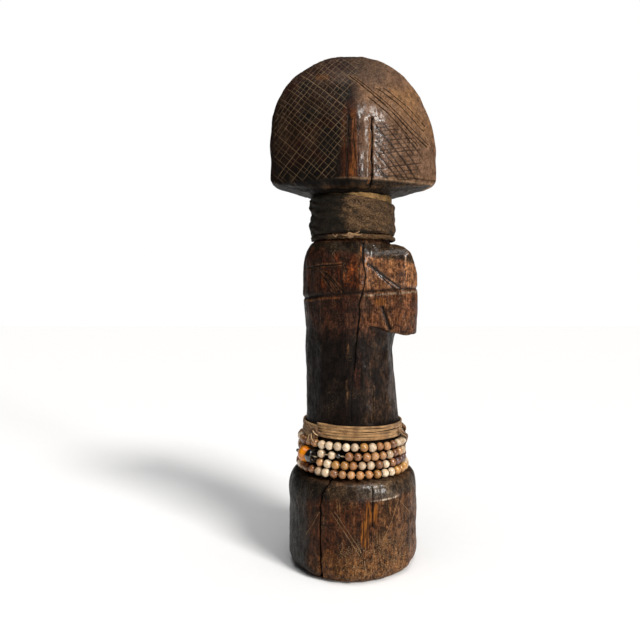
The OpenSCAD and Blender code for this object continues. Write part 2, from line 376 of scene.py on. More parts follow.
def wood_look():
    """Old dark wood: patina with painted light and shade by point, streaks, crackle, scuffs, hatching, bare
    spots and cracks darkened with painted shade.
    """
    look = Look("carved_wood", specular=0.08, coat_roughness=0.24)
    look.set("Specular Tint", (1.0, 0.92, 0.84))
    patina_and_painted_light, grain, gloss = look.value("patina_and_painted_light", "Vector"), look.value("grain"), look.value("gloss")
    streaks = look.noise(0.5, 5, (1, 1, 0.08), distortion=0.3)
    pores = look.noise(0.30, 3, (1, 1, 0.12))
    mottle = look.noise(2.6, 6, (1, 1, 0.8), roughness=0.72, distortion=0.4)
    crackle = look.noise(0.9, 5, (1, 1, 0.7), roughness=0.72, distortion=0.9)
    speck = look.noise(0.42, 4, roughness=0.8)
    scuffs = look.noise(0.9, 4, (1, 1, 0.6), distortion=1.5)
    colour = look.vary(grain, patina_and_painted_light, look.range(streaks, 0.36, 0.64), (0.5, 0.44, 0.40), (1.5, 1.5, 1.47))
    rustic = look.range(grain, 0.2, 1.0, 0.55, 1.0)
    colour = look.vary(rustic, colour, look.range(mottle, 0.39, 0.60), (0.33, 0.28, 0.25), (1.52, 1.52, 1.5))
    worn = look.math("MULTIPLY", rustic, 0.88)
    colour = look.vary(worn, colour, look.range(crackle, 0.40, 0.60), (0.34, 0.30, 0.28), (1.42, 1.41, 1.38))
    dots = look.math("MULTIPLY", look.range(speck, 0.50, 0.64), look.range(scuffs, 0.42, 0.56))
    dots = look.math("MULTIPLY", dots, look.value("scuff"), clamp=True)
    colour = look.mix(dots, colour, srgb(170, 138, 102))
    holes = look.math("MULTIPLY", look.range(pores, 0.40, 0.31, 0.0, 0.6), grain, clamp=True)
    colour = look.mix(holes, colour, (0.008, 0.005, 0.003))
    # bare wood, in long fibres
    fibres = look.noise(0.45, 4, (1, 1, 0.05))
    bare = look.mix(look.range(fibres, 0.38, 0.62), srgb(46, 23, 8), srgb(138, 82, 28))
    shown = look.math("MULTIPLY", look.value("bare"), look.range(streaks, 0.30, 0.46), clamp=True)
    colour = look.mix(shown, colour, bare)
    # hatching: two families of scratched lines, at the whole values of their coordinate
    lines = []
    for family, drawn in (("hatch_a", "drawn_a"), ("hatch_b", "drawn_b")):
        near = look.math("MULTIPLY", look.math("PINGPONG", look.value(family), 0.5), look.value("thinness"))
        lines.append(look.math("MULTIPLY", look.range(near, 0.074, 0.024), look.value(drawn)))
    broken = look.range(speck, 0.34, 0.52, 0.35, 1.0)
    hatch = look.math("MULTIPLY", look.math("MAXIMUM", *lines), broken, clamp=True)
    colour = look.mix(look.math("MULTIPLY", hatch, 0.85), colour, look.value("line_tint", "Vector"))
    scratch = look.math("MULTIPLY", look.value("scratch"), look.range(speck, 0.34, 0.5, 0.5, 1.0))
    colour = look.mix(look.range(scratch, 0.3, 0.8, 0.0, 0.65), colour, srgb(150, 118, 84))
    # painted shade: the cracks are painted near black inside
    colour = look.mix(look.range(look.value("crack"), 0.3, 0.8), colour, (0.004, 0.003, 0.0025))
    look.set("Base Color", colour)
    rough = look.range(mottle, 0.36, 0.60, 0.56, 0.36)
    rough = look.math("SUBTRACT", rough, look.math("MULTIPLY", gloss, 0.14))
    rough = look.math("ADD", rough, look.math("MULTIPLY", look.value("dull"), 0.3), clamp=True)
    look.set("Roughness", rough)
    shine = look.math("MULTIPLY", gloss, look.range(crackle, 0.36, 0.56, 0.2, 0.9), clamp=True)
    look.set("Coat Weight", shine)
    n = look.bump(mottle, 0.52, 0.95)
    n = look.bump(crackle, 0.42, 0.95, n)
    n = look.bump(streaks, 0.10, 0.6, n)
    n = look.bump(hatch, 0.12, -0.9, n)
    look.set("Normal", n)
    return look.material


def hide_look(name, dark, light, worn, thick=1.0):
    """Hide with a fine grain, rubbed pale on its edges and folds and dark in the shade."""
    look = Look(name, specular=0.12)
    grain = look.seams(0.8)
    fine = look.noise(0.45, 6, (1, 1, 1.3), roughness=0.75)
    patch = look.noise(4.5, 5, (1, 1, 1.8), roughness=0.66, distortion=0.6)
    colour = look.mix(look.range(patch, 0.34, 0.64), dark, light)
    colour = look.mix(look.range(fine, 0.51, 0.60, 0.0, 0.9), colour, worn)
    colour = look.mix(look.range(look.value("edge"), 0.2, 1.0, 0.0, 0.85), colour, worn)
    colour = look.mix(look.range(fine, 0.49, 0.40, 0.0, 0.92), colour, (0.006, 0.004, 0.003))
    colour = look.mix(look.range(grain, 0.0, 0.12, 0.5, 0.0), colour, (0.006, 0.005, 0.004))
    colour = look.mix(look.range(look.value("shade"), 0.0, 1.0, 0.0, 0.88), colour, (0.004, 0.0045, 0.003))
    look.set("Base Color", colour)
    look.set("Roughness", look.range(fine, 0.3, 0.7, 0.85, 0.45))
    n = look.bump(patch, 0.7 * thick, 0.7)
    n = look.bump(look.range(grain, 0.0, 0.2), 0.16 * thick, 0.8, n)
    n = look.bump(fine, 0.3 * thick, 0.9, n)
    look.set("Normal", n)
    return look.material


def fibre_look(name, dark, light, pale, roughness=0.65):
    """Fibres that run along the piece, by its fibre coordinate."""
    look = Look(name, roughness, specular=0.3)
    fibre = look.value("fibre", "Vector")
    strands = look.noise(0.30, 4, (1, 1, 0.035), fibre)
    fine = look.noise(0.13, 3, (1, 1, 0.03), fibre)
    patch = look.noise(4.0, 4)
    colour = look.mix(look.range(strands, 0.33, 0.62), dark, light)
    colour = look.mix(look.range(fine, 0.5, 0.68, 0.0, 0.7), colour, pale)
    colour = look.vary(1.0, colour, look.range(patch, 0.3, 0.7), (0.62, 0.56, 0.5), (1.18, 1.18, 1.18))
    look.set("Base Color", colour)
    n = look.bump(strands, 0.22, 0.9)
    look.set("Normal", look.bump(fine, 0.10, 0.8, n))
    look.set("Sheen Weight", 0.15)
    return look.material


def bead_look(name, dark, base, light, band=0.5):
    """Polished stone: cloudy, with soft bands, darker in places, and painted shade on its ends where it meets
    the next bead; tone varies bead by bead.
    """
    look = Look(name, specular=0.45, coat=0.55, coat_roughness=0.08)
    tone = look.value("tone")
    own = look.value("own", "Vector")
    cloud = look.noise(1.7, 5, source=own, roughness=0.6, distortion=0.8)
    bands = look.noise(1.0, 3, (0.5, 0.5, 1.8), own, distortion=1.6)
    speck = look.noise(0.22, 3, source=own, roughness=0.7)
    colour = look.mix(look.range(cloud, 0.36, 0.64), base, light)
    colour = look.mix(look.range(bands, 0.56, 0.72, 0.0, band), colour, dark)
    colour = look.mix(look.range(speck, 0.66, 0.8, 0.0, 0.2), colour, dark)
    colour = look.vary(1.0, colour, tone, (0.68, 0.62, 0.56), (1.2, 1.22, 1.26))
    # painted shade: darker towards the bead's ends, where it meets its neighbours
    bead_end_shade = look.value("bead_end_shade")
    colour = look.mix(look.range(bead_end_shade, 0.3, 1.0, 0.0, 0.8), colour, (0.045, 0.022, 0.010))
    look.set("Base Color", colour)
    look.set("Roughness", look.range(cloud, 0.3, 0.7, 0.38, 0.24))
    look.set("Subsurface Weight", 0.06)
    look.set("Subsurface Scale", 0.001)
    look.set("Subsurface Radius", (1.0, 0.6, 0.35))
    look.set("Normal", look.bump(cloud, 0.05, 0.4))
    return look.material


def glass_look():
    """Black trade glass, slightly scratched."""
    look = Look("black_glass", 0.14, specular=0.6, coat=1.0, coat_roughness=0.05)
    wear = look.noise(0.7, 4, source=look.value("own", "Vector"), roughness=0.7)
    colour = look.mix(look.range(wear, 0.4, 0.7), (0.0012, 0.0012, 0.0016), (0.004, 0.004, 0.005))
    look.set("Base Color", colour)
    look.set("Roughness", look.range(wear, 0.35, 0.7, 0.1, 0.3))
    look.set("Normal", look.bump(wear, 0.015, 0.3))
    return look.material


# ---------------------------------------------------------------- the carved figure

# Lines cut or worn into the wood, by the side that they are on, facing -Y ("right") or +Y ("left"), and
# by kind: the line's width from its middle, its depth, and its x and z from point to point
CUTS = {
    ("right", "crack"): [
        (0.62, 1.9, [(8.6, 205), (8.3, 201.5), (8.7, 197), (8.5, 190), (8.3, 185.7), (8.5, 181.3), (8.3, 174)]),
        (0.28, 0.35, [(-2, 206), (-2.6, 200), (-2, 193)]),
        (0.26, 0.3, [(-3, 190), (-2.3, 183), (-2.9, 177)]),
        (0.3, 0.35, [(0.5, 204), (0.1, 195), (0.9, 186)]),
        (0.26, 0.3, [(2.4, 200), (2, 190), (2.6, 179)]),
        (0.6, 0.9, [(5.1, 149.5), (4.7, 140.3), (6, 134.5), (5.6, 130.1), (4.2, 125.6), (2.9, 121.2),
            (3.3, 116.7), (2.5, 110.9), (1.6, 103), (0.7, 92)]),
        (0.4, 0.5, [(0.7, 103.3), (-0.2, 85.5), (-0.7, 69.5)]),
        (0.62, 1.7, [(-9.5, 43.9), (-12, 41.2), (-13.6, 38.9), (-14.2, 31.5), (-14.2, 18.5), (-14, 4),
            (-13.9, 0.05)]),
        (0.36, 0.7, [(8.6, 42.2), (9.1, 36.5), (8.9, 30), (8.6, 25)]),
    ],
    # the lit wall beside a crack, painted lighter brown as painted light
    ("right", "wall"): [
        (0.75, 0.5, [(7.6, 204.5), (7.4, 198), (7.5, 190), (7.3, 176)]),
        (0.42, 0.25, [(4.1, 149), (3.9, 141), (4.9, 135)]),
    ],
    ("right", "groove"): [
        (0.46, 0.45, [(-0.2, 226.3), (10.2, 215.9), (19.3, 207.2), (27.3, 200.1), (34.3, 194.8)]),
        (0.38, 0.38, [(1.6, 225.8), (12.4, 215.7), (23, 205.9), (35.3, 196)]),
        (0.42, 0.4, [(11.6, 219.8), (21.7, 213), (33.8, 202.2)]),
        (0.38, 0.34, [(14.8, 220.2), (26.5, 212.3), (35.4, 204.9)]),
        (0.38, 0.36, [(7.4, 215.2), (17.8, 205.6), (29.8, 194.5)]),
        (0.42, 0.35, [(-21, 138.2), (-14.7, 138.9), (-8, 139), (-4.5, 139.6)]),
        (0.36, 0.38, [(-15, 136), (-8.8, 127.2)]),
        (0.34, 0.35, [(-13.2, 135.9), (-7, 128.4)]),
        (0.4, 0.42, [(-12.2, 135.6), (-3.7, 126.4)]),
        (0.3, 0.25, [(-15.6, 137.2), (-20.2, 130)]),
        (1, 0.8, [(7.2, 139.4), (14.5, 133.4), (21, 129)]),
        (0.6, 0.5, [(11.8, 134.6), (17.8, 129.2)]),
        (1.1, 0.9, [(13.4, 120), (14.9, 115.4), (16.6, 110.5)]),
        (0.35, 0.35, [(9.7, 84), (9.2, 69.5)]),
        (0.35, 0.25, [(-6.4, 36.5), (-5.8, 30), (-6.3, 24.5)]),
    ],
    ("left", "crack"): [
        (0.6, 1.4, [(-6.5, 214), (-6, 203), (-6.8, 192), (-6.2, 183), (-6.6, 175)]),
        (0.45, 0.6, [(1.5, 148), (0.8, 139), (1.6, 131), (0.4, 121), (1, 112), (0, 101)]),
        (0.4, 0.5, [(-7, 99), (-7.6, 84), (-7.2, 70)]),
        (0.5, 0.8, [(11, 42), (11.8, 33), (11.2, 20), (12, 8)]),
    ],
    ("left", "groove"): [
        (0.45, 0.4, [(2, 224), (-12, 211), (-24, 200), (-34, 192)]),
        (0.45, 0.4, [(0, 220), (-13, 207), (-25, 196), (-33, 188)]),
        (0.9, 0.7, [(7, 138.6), (14, 132.8), (20.5, 128.4)]),
        (0.6, 0.5, [(10.5, 138.2), (17, 132.6), (23, 129)]),
        (0.5, 0.45, [(-6, 136.2), (-14.5, 127.6)]),
        (0.5, 0.45, [(-8, 136.4), (-16.5, 128)]),
        (0.7, 0.6, [(-4, 139.2), (-12, 139), (-20, 139.4)]),
    ],
    ("right", "scratch"): [
        (0.28, 0.25, [(-9.3, 31.2), (-3.2, 22.8), (3.2, 13)]),
        (0.26, 0.24, [(-7.8, 31.8), (-1.9, 23.4), (3.9, 14.4)]),
        (0.24, 0.18, [(21, 34.6), (16.9, 25.7), (12.6, 16.2)]),
        (0.24, 0.18, [(21.7, 33.8), (24.4, 29.6), (26.8, 25.7)]),
        (0.24, 0.18, [(-14.7, 30.5), (-17.9, 24.1), (-21.2, 18.9)]),
        (0.34, 0.35, [(5.3, 10.5), (5.8, 6.3), (5.2, 0.6)]),
    ],
    ("left", "scratch"): [
        (0.36, 0.3, [(20, 36), (12.5, 24), (6, 14)]),
        (0.36, 0.3, [(4, 14), (-4, 25), (-11, 35.5)]),
        (0.34, 0.26, [(-13, 35), (-20, 22)]),
    ],
}

# Bare wood: x and z of the middle, half width and height, strength, and the side: -1 faces -Y
BARE_SPOTS = [
    (6.9, 30, 1.4, 6.8, 1.0, -1), (5.5, 22, 2.0, 7.5, 1.0, -1), (10.3, 31.2, 1.0, 5, 0.9, -1),
    (12.6, 122.6, 2.6, 2.4, 0.7, -1), (-13, 226, 4, 2, 0.4, -1), (-4, 24, 1.6, 8, 0.8, 1),
    (9, 118, 2.2, 4, 0.7, 1),
]


# Height of the ring cut round the torso, its rise towards the front, and the height of the middle of
# the crown's arc
RING_Z, RING_SLOPE = 126.5, tan(radians(4.5))
CROWN_Z = 199.8


def along_line(line, spacing):
    """Points along a polyline, spacing apart."""
    line = np.asarray(line, float)
    reach = np.concatenate([[0], np.cumsum(np.linalg.norm(np.diff(line, axis=0), axis=1))])
    t = np.linspace(0, reach[-1], max(2, int(ceil(reach[-1] / spacing)) + 1))
    return np.stack([np.interp(t, reach, line[:, k]) for k in range(line.shape[1])], 1)


def project(bvh, side, line, wander):
    """The line's points on the surface, with a little wander."""
    flat = along_line(line, 0.35)
    jitter = noise(np.stack([flat[:, 1], flat[:, 0], 0 * flat[:, 0]], 1), 3.0, 2, seed=len(line))
    flat[:, 0] += wander * jitter
    start, way = (-80.0, 1.0) if side == "right" else (80.0, -1.0)  # mm, well outside the wood
    found = []
    for x, z in flat:
        hit = bvh.ray_cast(Vector((x, start, z)) * MM, Vector((0, way, 0)))[0]
        if hit is not None:
            found.append(np.array(hit) / MM)
    return np.array(found)


def near_line(co, line, reach):
    """Indices of points within reach of the line, and their distances from it."""
    low, high = line.min(0) - reach, line.max(0) + reach
    index = np.nonzero(np.all((co > low) & (co < high), axis=1))[0]
    best = np.full(len(index), 1e9)
    a, b = line[:-1], line[1:]
    span = b - a
    size = np.maximum(np.sum(span**2, 1), 1e-9)
    for block in range(0, len(index), 4000):
        p = co[index[block : block + 4000]][:, None]
        t = np.clip(np.sum((p - a) * span, 2) / size, 0, 1)
        d = np.linalg.norm(p - (a + t[..., None] * span), axis=2)
        best[block : block + 4000] = d.min(1)
    keep = best < reach
    return index[keep], best[keep]


def refine(mesh, lines, reach):
    """Splits the edges close to any of the lines."""
    co = points_of(mesh)
    close = np.zeros(len(co), bool)
    for line in lines:
        close[near_line(co, line, reach)[0]] = True
    bm = bmesh.new()
    bm.from_mesh(mesh)
    bm.verts.ensure_lookup_table()
    edges = [e for e in bm.edges if close[e.verts[0].index] and close[e.verts[1].index]]
    bmesh.ops.subdivide_edges(bm, edges=edges, cuts=1, use_grid_fill=True)
    bmesh.ops.triangulate(bm, faces=[f for f in bm.faces if len(f.verts) > 4])
    bm.to_mesh(mesh)
    bm.free()
    mesh.update()


def base_mesh(voxel):
    """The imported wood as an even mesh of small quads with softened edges."""
    mesh = nodes["wood_figure"].data.copy()
    bm = bmesh.new()
    bm.from_mesh(mesh)
    bmesh.ops.remove_doubles(bm, verts=bm.verts, dist=1e-6)
    bm.to_mesh(mesh)
    bm.free()
    obj = bpy.data.objects.new("wood_base", mesh)
    bpy.context.scene.collection.objects.link(obj)
    modifier = obj.modifiers.new("even", "REMESH")
    modifier.mode = "VOXEL"
    modifier.voxel_size = voxel * MM
    made = bpy.data.meshes.new_from_object(obj.evaluated_get(bpy.context.evaluated_depsgraph_get()))
    bpy.data.objects.remove(obj)
    co, edges = points_of(made), edges_of(made)
    hold = step(co[:, 2], 0.3, 2.5)
    flat = co.copy()
    co = blur(co, edges, 9, 0.5)
    co[:, 2] = np.where(flat[:, 2] < 0.4, flat[:, 2], co[:, 2])
    co += (flat - co) * (1 - hold)[:, None] * 0.3
    put_points(made, co)
    return made


def facet_depth(angle, radius, corners):
    """How far a polygon with corners at those angles lies inside its circle."""
    corners = np.sort(np.asarray(corners, float))
    a = np.mod(angle - corners[0], 360) + corners[0]
    loop = np.concatenate([corners, [corners[0] + 360]])
    k = np.clip(np.searchsorted(loop, a, side="right") - 1, 0, len(corners) - 1)
    half = (loop[k + 1] - loop[k]) / 2
    off = a - (loop[k] + half)
    return radius * (1 - np.cos(np.radians(half)) / np.cos(np.radians(off)))


def shape_wood(co):
    """Tool facets, hollows and waves, as a distance along the normal for each point."""
    x, y, z = co.T
    angle = np.degrees(np.arctan2(x, -y))
    torso = step(z, 102, 110) * step(z, 152, 148)
    waist = step(z, 66, 76) * step(z, 110, 103)
    base = step(z, 44, 40)
    head = step(z, 171, 174)
    cut = np.zeros(len(co))
    cut += 0.6 * torso * facet_depth(angle, 22.7, [-150, -118, -86, -62, -36, 8, 48, 86, 128, 170])
    cut += 0.6 * waist * facet_depth(angle, 21, [-160, -128, -91, -70, -40, -6, 24, 54, 86, 110, 140, 172])
    corners = [-158, -126, -92, -67, -42, -18, 4, 31, 58, 86, 120, 152, 178]
    cut += 0.35 * base * facet_depth(angle, 30.6, corners)
    d = -cut
    for height, size, seed, long in ((0.35, 9, 1, 1), (0.16, 3.2, 2, 2.2), (0.10, 1.3, 3, 4)):
        d += height * noise(co, size, 2, seed, (1, 1, long)) * (base + head + torso + waist)
    # worn foot: shallow bites out of the lower rim
    rim = step(z, 9, 2) * step(np.hypot(x, y), 22, 27)
    d -= rim * (0.5 + 0.9 * noise(co, 7, 3, 4)) * 0.8
    return d


def settle_head(co):
    """The head's lower edge is bevelled inwards, and its crown leans back a little."""
    x, y, z = co.T.copy()
    plan = ((np.abs(x) / 43) ** 1.35 + (np.abs(y) / 24) ** 1.35) ** (1 / 1.35)
    inwards = 0.034 * np.clip(177.5 - z, 0, 4.5) * step(plan, 0.72, 0.98) * step(z, 171.5, 173)
    head = step(z, 172, 176)
    out = co.copy()
    out[:, 0] = (
        x * (1 - inwards)
        + head * (0.4 - 1.5 * step(z, 200, 232))
        - bump(z, 222, 16) * step(x, 12, 30)
        - 1.5 * bump(z, 208, 17) * step(x, 16, 33)
    )
    out[:, 1] = y * (1 - inwards)
    return out


def line_family(u, along, seed):
    """Uneven spacing and uneven ends for a family of lines that lie at whole values of u."""
    own = np.random.default_rng(seed)
    shift, start, end = own.uniform(-0.36, 0.36, 64), own.uniform(-60, -22, 64), own.uniform(22, 60, 64)
    k = np.floor(u).astype(int)
    f = u - k
    u = u + shift[k % 64] * (1 - f) + shift[(k + 1) % 64] * f
    line = np.round(u).astype(int) % 64
    drawn = step(along, start[line] - 2, start[line]) * step(along, end[line] + 2, end[line])
    return u, drawn * own.uniform(0.35, 1.25, 64)[line]


def head_fields(co):
    """Hatching: line coordinates, how strongly they are drawn, and the left part of each face."""
    x, y, z = co.T
    warp = 0.16 * noise(co, 16, 2, 7) + 0.035 * noise(co, 3, 2, 8) + 23 * (y > 0)
    front = x > 3
    families = []
    for back_way, front_way, seed in (((50, 2.3), (-48, 2.9), 3), ((-43, 2.5), (14, 2.0), 5)):
        angle = np.radians(np.where(front, front_way[0], back_way[0]))
        spacing = np.where(front, front_way[1], back_way[1])
        u = (-x * np.sin(angle) + (z - 200) * np.cos(angle)) / spacing + warp + 0.012 * x
        along = x * np.cos(angle) + (z - 200) * np.sin(angle)
        families.append(line_family(u, along, seed))
    reach = np.hypot(x, np.maximum(z - CROWN_Z, 0))
    rim = step(reach, 38.4, 36.6) * step(z, 177, 179)
    face = step(np.abs(y), 1.5, 3)
    left = step(x - 7 * step(z, 212, 230) + 5 * step(z, 200, 184), -1, -4)
    low_right = step(z + 0.35 * x, 212, 205) * step(x, 9, 10.5) * step(x, 35, 26)
    strength = rim * face * np.clip(left + low_right, 0, 1)
    strength *= 0.65 + 0.4 * step(noise(co, 6, 2, 42), -0.8, 0.1)
    strength *= 1 + 0.4 * (x > 3)
    return families, strength, left


def gloss_of(co):
    """Where hands and cloth have polished the wood, from 0 to 1."""
    x, _, z = co.T
    gloss = 0.05 + 0.05 * noise(co, 7, 2, 44)
    ridge = step(z, 175, 180) * step(z, 213, 202)
    gloss += 0.8 * ridge * step(x, 1.0, 3.5) * step(x, 17, 11)
    gloss += 0.7 * step(x, 3, 7) * step(z, 127, 131) * step(z, 150, 148)
    gloss += 0.2 * step(z, 70, 76) * step(z, 126, 122) * step(x, -6, 6)
    gloss += 0.6 * step(z, 35, 37) * step(z, 44, 43) * step(x, -5, 4) * step(x, 26, 16)
    gloss += 0.12 * step(z, 40, 34) * step(x, -18, -24)
    return np.clip(gloss, 0, 1) * (1 - step(z, 43.5, 44.5) * step(z, 69, 66))


def paint_wood(co, pointed):
    """Patina colour with painted light and shade, bare wood, dullness and scuffing for each point."""
    x, y, z = co.T
    big = noise(co, 16, 3, 20)
    mid = noise(co, 5, 3, 21, (1, 1, 1.6))
    streak = noise(co, 2.4, 3, 22, (1, 1, 7))
    head = step(z, 171, 174)
    torso = step(z, 104, 108) * step(z, 151, 149)
    waist = step(z, 112, 104) * step(z, 60, 66)
    girdle = step(z, 69, 66) * step(z, 43.5, 45.5)
    base = step(z, 45.5, 42)
    under = step(z, 178.2, 177) * step(z, 168, 171)
    colour = np.tile(srgb(76, 48, 32), (len(co), 1))

    def lay(tint, amount):
        nonlocal colour
        colour = mix(colour, srgb(*tint), np.clip(amount, 0, 1))

    lay((50, 32, 23), 0.7 * step(big + 0.5 * mid, -0.1, 0.7))
    lay((104, 72, 50), 0.5 * step(mid - 0.4 * big, 0.2, 0.9))
    # head: darker behind and paler in front, partly its own colour and partly painted shade on the unlit side
    # and painted light on the lit side, with a fibrous worn strip along the ridge
    lit = step(x + 2 * mid, -4, 8)
    lay((30, 17, 9), 0.95 * head * (1 - lit))
    lay((106, 80, 62), 0.9 * head * lit)
    lay((122, 88, 56), 0.8 * head * lit * step(z + 0.6 * x, 214, 232) * step(big, -0.7, 0.4))
    lay((58, 40, 27), 0.8 * head * step(z, 216, 229) * step(x, 24, 8))
    lay((15, 12, 9), 0.9 * head * (1 - lit) * step(noise(co, 10, 2, 23), -0.1, 0.5))
    lay((38, 15, 7), 0.8 * head * (1 - lit) * step(noise(co, 7, 2, 24), 0.1, 0.6))
    # painted shade: near black low on the unlit back of the head
    lay((7, 5, 3), 0.8 * head * (1 - lit) * step(z, 196, 180))
    strip = head * bump(x, -0.8, 6.0) * step(z, 213, 203) * step(z, 175, 179)
    lay((94, 48, 24), 0.75 * strip * step(streak, -0.7, 0.2))
    lay((30, 16, 10), 0.8 * strip * step(-streak, -0.1, 0.6))
    # painted shade: near black under the head's lower edge, a little lighter at its ends
    lay((9, 6, 4), 0.95 * under)
    lay((46, 36, 28), 0.7 * under * step(z, 174.5, 172.5) * step(np.abs(x), 18, 26))
    lay((120, 88, 62), 0.5 * head * step(z, 181.5, 179.6) * step(z, 178, 179) * step(x, 8, 16))
    # torso: reddish panels below a dull shoulder; the back (-X) is darker and the front (+X) lighter, partly
    # their own colour and partly painted shade and painted light
    front = step(x, 1, 7)
    lay((34, 10, 4), torso * (0.65 + 0.35 * step(mid + streak, -0.8, 0.5)) * (1 - front))
    lay((14, 8, 6), 0.85 * torso * (1 - front) * step(big + mid, 0.0, 0.9))
    lay((92, 56, 34), 0.9 * torso * front)
    # painted highlight: lighter at the top of the front panel
    lay((140, 96, 62), 0.9 * torso * front * step(z, 126.5, 131) * step(z, 149, 143) * step(mid, -0.9, 0.2))
    lay((40, 24, 15), 0.75 * torso * front * step(z, 126, 122) * step(mid - big, 0.0, 0.7))
    panel = step(z, 128, 130) * step(z, 146, 141)
    lay((110, 54, 20), 0.65 * torso * (1 - front) * step(streak + mid, 0.05, 0.8) * panel)
    lay((27, 21, 11), 0.9 * torso * step(z + 0.16 * x + 0.6 * mid, 143.6, 145.6))
    # painted highlight: the ring's lower lip is painted pale grey on the lit front (+X)
    lip = bump(z - (RING_Z - 1.6) - x * RING_SLOPE + 0.3 * mid, 0, 0.75)
    lay((132, 120, 104), 0.75 * torso * lip * step(x, 2, 8))
    lay((120, 76, 42), 0.5 * torso * lip * step(x, -4, -8))
    lay((8, 4, 3), 0.96 * waist)
    # painted light: lighter brown on the lit front (+X) of the near-black waist
    lay((52, 37, 26), 0.8 * waist * step(x, 2, 10) * step(mid, -0.9, 0.3))
    lay((72, 36, 22), 0.6 * waist * step(streak + 0.5 * mid, 0.2, 0.9) * step(z, 78, 92) * step(x, -6, 6))
    lay((12, 9, 7), 0.95 * girdle)
    # base: brown, lighter in front (+X) as painted light, grey and polished on the shoulder with a painted
    # highlight on its bevel, darker greenish grey behind as painted shade, rubbed pale at the foot
    lay((58, 28, 10), 0.92 * base)
    # painted light: lighter towards the lit front (+X)
    lay((92, 62, 38), 0.8 * base * step(x + 4 * mid, 6, 14))
    lay((26, 13, 7), 0.75 * base * step(streak + 0.6 * mid, 0.0, 0.9))
    lay((82, 58, 36), 0.6 * base * step(-streak + 0.5 * mid, 0.3, 1.0))
    lay((42, 34, 25), 0.85 * base * step(z + 1.2 * mid, 35.5, 38.5))
    # painted highlight: pale grey on the front of the shoulder's bevel
    lay((84, 74, 62), 0.7 * base * step(z + 1.2 * mid, 36, 39) * bump(x, 12, 11))
    # painted shade: dark greenish grey behind (-X), darkest on the back of the shoulder
    lay((16, 18, 15), 0.92 * base * step(x + 3 * mid, -16, -23))
    lay((7, 6, 5), 0.8 * base * step(z + 2 * mid, 33, 37) * step(x + 3 * mid, -8, -16))
    lay((98, 64, 34), 0.8 * base * step(z + 3 * mid, 17, 6) * step(x, -22, -10))
    edge = bump(z - 36.0 - 0.035 * (x - 9) + 0.15 * mid, 0, 0.45)
    # painted highlight: a pale line along the bevel's lower edge
    lay((176, 164, 148), 0.8 * edge * step(x, 7, 10) * step(x, 23, 20))
    lay((128, 94, 64), step(pointed, 0.08, 0.35) * (0.3 + 0.3 * np.clip(mid, -1, 1)) * step(x, -22, -4))
    lay((16, 11, 8), 0.75 * step(-pointed, 0.04, 0.25))
    bare = np.zeros(len(co))
    for cx, cz, w, h, amount, near in BARE_SPOTS:
        wobble = 0.32 * noise(co, 1.8, 2, 31, (1, 1, 4))
        spot = step(np.hypot((x - cx) / w, (z - cz) / h) + wobble, 1.0, 0.8) * (y * near > 0)
        bare = np.maximum(bare, amount * spot)
    bare = np.maximum(bare, 0.5 * strip * bump(x, -0.6, 4.2) * step(z, 177, 180) * step(streak, -0.5, 0.5))
    dull = np.clip(0.5 * girdle + 0.4 * step(z, 8, 1) + 0.25 * waist + 0.4 * under, 0, 1)
    scuff = 0.12 * (1 - head) + 0.32 * head * lit + 0.3 * step(mid, 0.1, 0.8) - 0.2 * waist
    scuff += 1.4 * base * step(z + 3 * mid, 24, 12) * step(x, -9, 0) * step(x, 28, 18)
    grain = np.clip(1 - 0.75 * head * (1 - 0.8 * strip), 0, 1)
    return colour, bare, dull, np.clip(scuff, 0, 1) * (1 - girdle), grain


